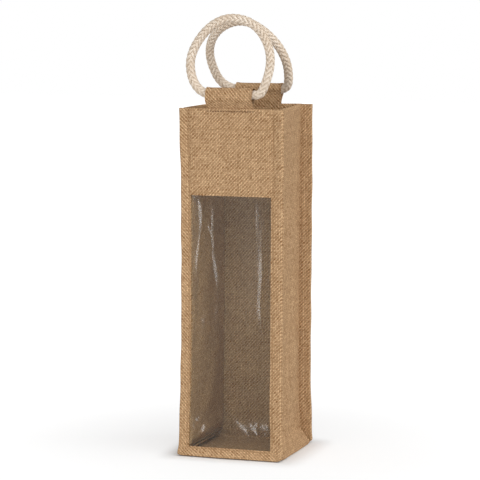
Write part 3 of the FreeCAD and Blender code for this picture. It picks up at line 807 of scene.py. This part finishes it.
corners = (cut[0] - 2 * BASE_REACH * MM) * (cut[1] - (deep[-1] - deep[0]) * MM)

# %% [markdown]
# ## Handle sleeves
# A tab of jute is folded over the rope, and both of its tails go down inside the hem. Above the hem the
# two plies part round the rope, like a drop of water. The mouths spread a little where the rope comes out.

# %% Handle sleeves
SLEEVE_MIDDLE = 5.95  # mm, from the rope's middle to the middle of the ply round it
TAIL_OFFSET = 0.56  # mm, from the middle of the tab to the middle of a tail
MOUTH_SPREAD, MOUTH_LENGTH = 0.08, 5  # share of the size, and mm
SLEEVE_WAVE, RAGGED = 0.012, 0.35  # share of the size, and mm at the raw edges
SLEEVE_CLOTH = 1800  # mm, place on the uncut cloth
tail = np.linspace(HEIGHT - HEM, HEIGHT + 1, 9)
rise = np.linspace(0, 1, 13)[1:]
over = np.linspace(0, np.pi, 17)[1:-1]
for side, hinge in HINGES.items():
    axis = hinge[2]
    parting = ease(rise / 0.7) if side == "front" else 0.7 * rise + 0.3 * ease(rise)
    ply_out = np.concatenate([np.full(9, TAIL_OFFSET), TAIL_OFFSET + (SLEEVE_MIDDLE - TAIL_OFFSET) * parting])
    ply_up = np.concatenate([tail, HEIGHT + 1 + (axis - HEIGHT - 1) * rise])
    out = np.concatenate([ply_out, SLEEVE_MIDDLE * np.cos(over), -ply_out[::-1]])[:, None]
    up = np.concatenate([ply_up, axis + SLEEVE_MIDDLE * np.sin(over), ply_up[::-1]])[:, None]
    length = along(np.concatenate([out, up], 1))[:, None]
    start, end = SLEEVE_EDGES[side]
    wide = np.concatenate([np.linspace(start, start + 6, 5), np.linspace(start + 6, end - 6, 17)[1:-1],
                           np.linspace(end - 6, end, 5)])
    from_mouth = np.minimum(wide - start, end - wide)
    wave = np.sin(wide / 6.1 + (2 if side == "front" else 0.4))
    spread = 1 + MOUTH_SPREAD * np.clip(1 - from_mouth / MOUTH_LENGTH, 0, 1) + SLEEVE_WAVE * wave
    loose = np.clip((up - HEIGHT - 4) / 8, 0, 1)
    grid = lay(wide + RAGGED * np.sin(up / 3.7) * (from_mouth < 1),
               hinge[1] + out * (1 + (spread - 1) * loose),
               np.where(up > axis, axis + (up - axis) * spread, up))
    patches = [(grid, lay(wide, length) + (SLEEVE_CLOTH, 20 * hinge[1]))]
    sleeve = sew(f"{side}_sleeve_cloth", patches, PLY, jute, "bag", "jute_cloth", f"{side}_handle_sleeve")

# %% [markdown]
# ## Clear film
# The window is soft PVC film. It lets most light through and mirrors a little, more at a glancing angle,
# so a clear shader and a mirror shader are mixed by the angle of view.

# %% Film finish
FACE_ON, GLANCING = 0.02, 0.9  # share of light that is mirrored face on, and more of it at a glancing angle
film, tree, shader = new_material("clear_pvc_film")
tree.nodes.remove(shader)
grazing = add(tree, "LayerWeight", {"Blend": 0.5}).outputs["Facing"]
grazing = add(tree, "Math", grazing, 5, operation="POWER")
mirror_share = add(tree, "Math", grazing, GLANCING, FACE_ON, operation="MULTIPLY_ADD")
clear = add(tree, "BsdfTransparent", {"Color": linear("#fafbf8")})
mirror = add(tree, "ShaderNodeBsdfGlossy", {"Color": (1, 1, 1, 1), "Roughness": 0.12})
feed(tree.nodes["Material Output"], {"Surface": add(tree, "MixShader", mirror_share, clear, mirror)})
print("clear film mirrors", FACE_ON, "of the light face on")

# %% [markdown]
# Real film is slightly loose in its frame: it keeps long wavering folds down both sides, a few short ones
# from the lower corners, a shallow dent above the foot, and sharp little creases. Each is a low ridge along
# its own line, and shows as a bright streak. The numbers are millimetres across from the middle and up.

# %% Film folds
SIDE_FOLDS = ((-35.5, -0.36, 2.2, 0.4), (-28.5, -0.33, 2.6, 1.9), (-21.5, 0.3, 3.0, 3.1),
              (28, 0.1, 2.6, 4.4), (35, -0.3, 2.4, 5.6))  # place across, height, width, phase
CORNER_FOLDS = ((-1, 55, 0.8), (-1, 74, -0.6), (1, 28, 0.9), (1, 47, -0.9))  # side, degrees, height
CREASES = (((-39, 160), (-31, 141), 1.8), ((-40, 127), (-29, 106), -2.2), ((-29, 99), (-24, 84), 1.2),
           ((-29, 245), (-20, 216), -1.5), ((-38, 62), (-33, 38), 2.6), ((30, 41), (39, 27), 2.0))  # ends, bow
CREASE_HEIGHT = 0.35
FOOT_DENT, FOOT_FOLDS, FOOT_KNOB, BROAD_WAVE = 3.4, 1.2, 0.9, 0.2


def film_folds(x, z):
    """How far the loose film stands in from flat, in millimetres."""
    reach = HALF - BORDER
    move = BROAD_WAVE * np.sin(2.2 * np.pi * (z - BORDER) / (WINDOW_TOP - BORDER) + x / 30)
    move *= np.cos(np.pi * x / (2 * reach)) ** 2
    move += FOOT_DENT * hump(x + 2, 26) * hump(z - 58, 32)
    move += FOOT_FOLDS * np.sin((z - 32 + x / 8) / 8.5 + 0.5 * np.sin(x / 9)) * hump(z - 40, 22)
    move += FOOT_KNOB * hump(x - 35, 4) * hump(z - 19, 3.5)
    for place, height, width, phase in SIDE_FOLDS:
        line = place + 2.8 * np.sin(z / 34 + phase) + 1.1 * np.sin(z / 12.5 + 2 * phase)
        height = height * (0.5 + 0.5 * np.sin(z / 41 + 3 * phase)) * (0.7 + 0.3 * np.sin(z / 8.3 + 5 * phase))
        move += height * hump(x - line, width)
    for sign, steep, height in CORNER_FOLDS:
        slant = math.radians(steep)
        right, up = reach - sign * x, z - BORDER
        far = right * math.cos(slant) + up * math.sin(slant)
        off = right * math.sin(slant) - up * math.cos(slant) + 1.2 * np.sin(far / 7 + steep)
        move += height * hump(off, 2.6 + 0.06 * np.abs(far)) * np.exp(-np.abs(far) / 40)
    for (x0, z0), (x1, z1), bow in CREASES:
        run = math.hypot(x1 - x0, z1 - z0)
        share = ((x - x0) * (x1 - x0) + (z - z0) * (z1 - z0)) / run ** 2
        off = ((x - x0) * (z1 - z0) - (z - z0) * (x1 - x0)) / run - bow * 4 * share * (1 - share)
        move += CREASE_HEIGHT * hump(off, 1) * ease(share / 0.25) * ease((1 - share) / 0.25)
    return move * ease((reach - np.abs(x)) / 5) * ease((z - BORDER) / 6) * ease((WINDOW_TOP - z) / 10)


print(len(SIDE_FOLDS), "side folds,", len(CORNER_FOLDS), "corner folds,", len(CREASES), "creases")

# %% Window film
FILM_THICKNESS = 0.35
film_low, film_high = (np.array(corner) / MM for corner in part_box("window_pane"))
film_wide = np.concatenate([[film_low[0], film_low[0] + 3.5], np.linspace(BORDER - HALF, -15, 58),
                            np.linspace(-15, HALF - BORDER, 72)[1:], [film_high[0] - 3.5, film_high[0]]])
film_up = np.concatenate([[film_low[2], film_low[2] + 3.5], np.linspace(BORDER, WINDOW_TOP, 300),
                          [WINDOW_TOP + 5, film_high[2]]])
x, z = np.meshgrid(film_wide, film_up)
grid = lay(x, FRONT + PLY + FILM_GAP / 2 + film_folds(x, z), z)
pane = sew("window_film", [(grid, lay(x, z))], FILM_THICKNESS, film, "bag", "clear_film", "window_pane")

# %% [markdown]
# ## Stitches
# Every seam is a row of lockstitches, seven to the inch, in thread of nearly the cloth's own tone. The rows
# that hold the sleeves carry the load: they are closer and pulled deep, with painted shade as their dark
# colour, so they show as dark dots. The thread is spun: its plies show as slanting bands of relief and painted
# shade.

# %% Sewing thread
CLOSE_ROW = 0.75  # pitch and length of a sleeve row's stitches, as a share of the others'
PLY_TWIST = 1.4  # mm of thread for one turn of its plies
PLIES = 2  # in a thread
thread, tree, shader = new_material("spun_sewing_thread")
thread_uv = add(tree, "UVMap", uv_map="thread")
twist = add(tree, "VectorMath", thread_uv, (1 / (PLY_TWIST * MM), 1, 0), operation="DOT_PRODUCT")
twist = add(tree, "Math", twist.outputs["Value"], 2 * math.pi * PLIES, operation="MULTIPLY")
twist = add(tree, "Math", twist, operation="SINE")
# The light and dark bands of colour are painted shade between the plies.
share = add(tree, "Math", twist, 0.35, 0.5, operation="MULTIPLY_ADD")
colour = add(tree, "Mix", {0: share, 6: linear("#94714b"), 7: linear("#b99469")}, data_type="RGBA")
# The sleeve rows' dark thread colour is painted shade in their deep stitches.
shortened = add(tree, "Attribute", attribute_name="shortened").outputs["Fac"]
unshaded_row = add(tree, "MapRange", {"Value": shortened, "From Min": CLOSE_ROW})
colour = add(tree, "Mix", {0: unshaded_row, 6: linear("#69492c"), 7: colour.outputs[2]}, data_type="RGBA")
bump = add(tree, "Bump", {"Height": twist, "Strength": 0.5, "Distance": 0.1 * MM})
feed(shader, {"Base Color": colour.outputs[2], "Normal": bump, "Roughness": 0.7})
print("thread plies turn once in", PLY_TWIST, "mm")

# %% [markdown]
# Each stitch is a short thread that dips into the cloth at both ends. Geometry Nodes lay them along the rows:
# a row becomes a curve, is divided by the stitch pitch, and a stitch is placed at every division, with its
# back to the cloth and a small random turn.

# %% One stitch
STITCH_PITCH, STITCH_LENGTH, STITCH_WIDTH, STITCH_RISE = 3.6, 2.5, 0.9, 0.32
STITCH_LINE = ((-0.5, -0.6), (-0.4, 0.05), (-0.2, 0.28), (0.2, 0.28), (0.4, 0.05), (0.5, -0.6))
SIDES = 6


def stitch_mesh():
    """One stitch: a thread bent down at both ends, with its length along X and the cloth under it."""
    mesh = bpy.data.meshes.new("stitch")
    angles = np.linspace(0, 2 * np.pi, SIDES + 1)[:-1]
    rings = [lay(run * STITCH_LENGTH, STITCH_WIDTH / 2 * np.cos(angles), up + STITCH_RISE * np.sin(angles))
             for run, up in STITCH_LINE]
    index = np.arange(len(rings) * SIDES).reshape(-1, SIDES)
    after = np.roll(index, -1, 1)
    faces = np.stack([index[:-1], index[1:], after[1:], after[:-1]], -1).reshape(-1, 4).tolist()
    mesh.from_pydata(np.concatenate(rings) * MM, [], [*faces, index[0].tolist(), index[-1, ::-1].tolist()])
    layer = mesh.uv_layers.new(name="thread")
    for loop in mesh.loops:
        ring, place = divmod(loop.vertex_index, SIDES)
        layer.data[loop.index].uv = (STITCH_LINE[ring][0] * STITCH_LENGTH * MM, place / SIDES)
    fixed = bmesh.new()
    fixed.from_mesh(mesh)
    bmesh.ops.recalc_face_normals(fixed, faces=fixed.faces)
    fixed.to_mesh(mesh)
    fixed.free()
    mesh.shade_smooth()
    return mesh


one_stitch = put("one_stitch", stitch_mesh())
stitch_faces = len(one_stitch.data.polygons)
print("a stitch has", stitch_faces, "faces")

# %% Stitch tree
SWAY = np.array((0.12, 0.12, 0.09))  # radians, most that a stitch is turned
stitch_rows, given, result = geometry_tree(
    "stitch_rows", {"Pitch": "Float", "Stitch": "Object", "Material": "Material"})
shortened = add(stitch_rows, "InputNamedAttribute", {"Name": "shortened"}, data_type="FLOAT")
pitch = add(stitch_rows, "Math", given["Pitch"], shortened, operation="MULTIPLY")
size = add(stitch_rows, "Math", shortened, 3, operation="POWER")
size = add(stitch_rows, "CombineXYZ", size, 1, 1)
rows = add(stitch_rows, "MeshToCurve", given["Geometry"])
rows = add(stitch_rows, "ResampleCurve", {"Curve": rows, "Length": pitch}, mode="LENGTH")
outward = add(stitch_rows, "InputNamedAttribute", {"Name": "outward"}, data_type="FLOAT_VECTOR")
turn = add(stitch_rows, "AxesToRotation", {
    "Primary Axis": outward, "Secondary Axis": add(stitch_rows, "InputTangent")},
    primary_axis="Z", secondary_axis="X")
sway = add(stitch_rows, "RandomValue", {0: tuple(-SWAY), 1: tuple(SWAY), "Seed": 7}, data_type="FLOAT_VECTOR")
turn = add(stitch_rows, "RotateRotation", {"Rotation": turn, "Rotate By": sway}, rotation_space="LOCAL")
stitch = add(stitch_rows, "ObjectInfo", {"Object": given["Stitch"]}).outputs["Geometry"]
placed = add(stitch_rows, "InstanceOnPoints", {
    "Points": rows, "Instance": stitch, "Rotation": turn, "Scale": size})
whole = add(stitch_rows, "RealizeInstances", placed)
feed(result, add(stitch_rows, "SetMaterial", {"Geometry": whole, "Material": given["Material"]}))
print("stitch tree:", len(stitch_rows.nodes), "nodes")

# %% [markdown]
# The rows are listed by their two ends, with the way out of the cloth and the share of a full stitch. They
# follow the soft shape of the bag, a little sunk in the cloth. All of them make one mesh, since all stitches
# move with the bag.

# %% Stitch rows
SIDE = HALF - SEAM
HALF_ROW, SLEEVE_HALF = 42, 24  # mm, half lengths of the rows across a panel and below a sleeve
FOOT_ROW, GUSSET_ENDS = 10.15, (-44, 44.6)  # mm, height of the rows on the slopes, and ends front and back
SUNK, STEP = 0.12, 1.5  # mm
rows = []
for face, outward in ((FRONT, (0, -1, 0)), (BACK, (0, 1, 0))):
    lines = [((-SIDE, SLEEVE_ROW), (-SIDE, BORDER), 1), ((-SIDE + 2, SEAM), (SIDE - 2, SEAM), 1),
             ((SIDE, BORDER), (SIDE, SLEEVE_ROW), 1), ((-HALF_ROW, HEM_ROW), (HALF_ROW, HEM_ROW), 1),
             ((-SLEEVE_HALF, SLEEVE_ROW), (SLEEVE_HALF, SLEEVE_ROW), CLOSE_ROW)]
    if face == FRONT:
        lines.append(((-HALF_ROW, FILM_ROW), (HALF_ROW, FILM_ROW), 1))
    rows += [((a, face, b), (c, face, d), outward, short) for (a, b), (c, d), short in lines]
for sign in (-1, 1):
    for x, up, outward in ((HALF - FLANGE, HEM_ROW, (sign, 0, 0)),
                           (HALF - FLANGE + 0.85, FOOT_ROW, (sign * 0.707, 0, 0.707))):
        start, end = ((sign * x, y, up) for y in GUSSET_ENDS)
        rows.append((start, end, outward, 1))
points, edges, outwards, shorts = [], [], [], []
for start, end, outward, short in rows:
    count = int(np.linalg.norm(np.subtract(end, start)) / STEP) + 2
    edges += [(len(points) + i, len(points) + i + 1) for i in range(count - 1)]
    outwards += [outward] * count
    shorts += [short] * count
    points += list(soften(np.linspace(start, end, count)) - SUNK * np.array(outward))
row_mesh = bpy.data.meshes.new("stitching")
row_mesh.from_pydata(np.array(points) * MM, edges, [])
for name, kind, field, values in (("outward", "FLOAT_VECTOR", "vector", outwards),
                                  ("shortened", "FLOAT", "value", shorts)):
    row_mesh.attributes.new(name, kind, "POINT").data.foreach_set(field, np.array(values, float).ravel())
stitching = grow("stitching", row_mesh, stitch_rows,
                 {"Pitch": STITCH_PITCH * MM, "Stitch": one_stitch, "Material": thread})
bpy.data.objects.remove(one_stitch)
dress(stitching, "bag", "sewing_thread", *[node for node in frame["nodes"] if node.endswith("_stitching")])
print("stitching:", len(stitching.data.polygons) // stitch_faces, "stitches in", len(rows), "rows")

# %% [markdown]
# ## Rope binding
# Inside each sleeve a turn of cotton tape joins the two ends of the rope. The CAD solid has the right
# shape and hardly shows, so it keeps that shape and gets a cloth tape finish.

# %% Rope binding
RIB = 0.6  # mm from rib to rib
tape, tree, shader = new_material("cotton_tape")
ribs = add(tree, "TexWave", {"Vector": add(tree, "TexCoord").outputs["Object"],
                             "Scale": 0.5 / (RIB * MM) / math.pi, "Distortion": 0.4},
           bands_direction="X").outputs["Fac"]
# The darker colour between the ribs is painted shade.
colour = add(tree, "Mix", {0: ribs, 6: linear("#d8ccb9"), 7: linear("#ece3d4")}, data_type="RGBA")
bump = add(tree, "Bump", {"Height": ribs, "Strength": 0.4, "Distance": 0.1 * MM})
feed(shader, {"Base Color": colour.outputs[2], "Normal": bump, "Roughness": 0.85})
for side in ROPE_ROUTES:
    binding = frame["nodes"][f"{side}_rope_binding"]
    binding.data.materials.clear()
    binding.data.materials.append(tape)
print("tape ribs", RIB, "mm apart")

# %% [markdown]
# ## Studio
# The photograph is a product shot on white, with a faint soft shadow on the floor. The world is white to
# the camera and in reflections, and gives even light. A large soft key lamp shines from the right of the
# front and a weak fill from above the camera. A low box and a tall strip on the left are what the film mirrors.

# %% World and lamps
WORLD_LIGHT = 0.32
LAMPS = (("key", "SUN", (1.9, -0.95, 1.4), 2.0, {"angle": math.radians(85)}),
         ("fill", "SUN", (0.1, -1.8, 1.5), 0.72, {"angle": math.radians(50)}),
         ("front_box", "AREA", (-0.42, -0.75, 0.12), 0.6,
          {"shape": "RECTANGLE", "size": 0.25, "size_y": 0.18}),
         ("strip_box", "AREA", (-0.33, -0.62, 0.285), 0.3,
          {"shape": "RECTANGLE", "size": 0.05, "size_y": 0.55}))
AIM = (0, 0, 0.15)


def seen_directly(tree):
    """1 for rays from the camera, from a mirror and through glass, and 0 for rays that light the bag."""
    path = add(tree, "LightPath").outputs
    seen = add(tree, "Math", path["Is Camera Ray"], path["Is Glossy Ray"], operation="MAXIMUM")
    return add(tree, "Math", seen, path["Is Transmission Ray"], operation="MAXIMUM")


world = bpy.data.worlds.new("studio")
scene.world = world
world.use_nodes = True
tree = world.node_tree
strength = add(tree, "MapRange", {"Value": seen_directly(tree), "To Min": WORLD_LIGHT, "To Max": 1.0})
feed(tree.nodes["Background"], {"Color": (1, 1, 1, 1), "Strength": strength})
for name, kind, place, power, settings in LAMPS:
    lamp = put(name, bpy.data.lights.new(name, kind))
    lamp.data.energy = power
    for setting, value in settings.items():
        setattr(lamp.data, setting, value)
    lamp.location = place
    lamp.visible_camera = False
    lamp.visible_glossy = kind == "AREA"
    x, y, z = np.subtract(AIM, place)
    lamp.rotation_euler = (math.atan2(math.hypot(x, y), -z), 0, math.atan2(y, x) - math.pi / 2)
print(len(LAMPS), "lamps and a white world")

# %% [markdown]
# The paper floor is lifted to white away from the bag, and keeps its shadow close to it. What lifts it is
# seen by the camera only, so it adds no light to the bag.

# %% Floor
PAPER_HALF = 6.0  # metres
SHADOW_FROM, SHADOW_TO, SHADOW_LIFT = 0.08, 0.55, 0.55  # metres from the middle, and the least lift
CLEAR_OF_BAG = 0.03  # metres from the bag's foot over which the lift starts
corners = [(-PAPER_HALF, -PAPER_HALF, 0), (PAPER_HALF, -PAPER_HALF, 0), (PAPER_HALF, PAPER_HALF, 0),
           (-PAPER_HALF, PAPER_HALF, 0)]
floor = put("floor", bpy.data.meshes.new("floor"))
floor.data.from_pydata(corners, [], [(0, 1, 2, 3)])
paper, tree, shader = new_material("white_paper")
feed(shader, {"Base Color": (0.95, 0.95, 0.95, 1), "Roughness": 1, "Specular IOR Level": 0})
place = add(tree, "TexCoord").outputs["Object"]
away = add(tree, "VectorMath", place, operation="LENGTH").outputs["Value"]
lift = add(tree, "MapRange", {"Value": away, "From Min": SHADOW_FROM, "From Max": SHADOW_TO,
                              "To Min": SHADOW_LIFT, "To Max": 1.0}, interpolation_type="SMOOTHSTEP")
beside = add(tree, "VectorMath", place, operation="ABSOLUTE")
beside = add(tree, "VectorMath", beside, (HALF * MM, BACK * MM, 0), operation="SUBTRACT")
beside = add(tree, "VectorMath", beside, (0, 0, 0), operation="MAXIMUM")
beside = add(tree, "VectorMath", beside, operation="LENGTH").outputs["Value"]
clear = add(tree, "MapRange", {"Value": beside, "From Max": CLEAR_OF_BAG}, interpolation_type="SMOOTHSTEP")
for limit in (clear, seen_directly(tree)):
    lift = add(tree, "Math", limit, lift, operation="MULTIPLY")
white = add(tree, "Emission", {"Color": (1, 1, 1, 1), "Strength": 1.15})
feed(tree.nodes["Material Output"], {"Surface": add(tree, "MixShader", lift, shader, white)})
floor.data.materials.append(paper)
scene.view_settings.view_transform = "Standard"
print("paper floor", 2 * PAPER_HALF, "m across")
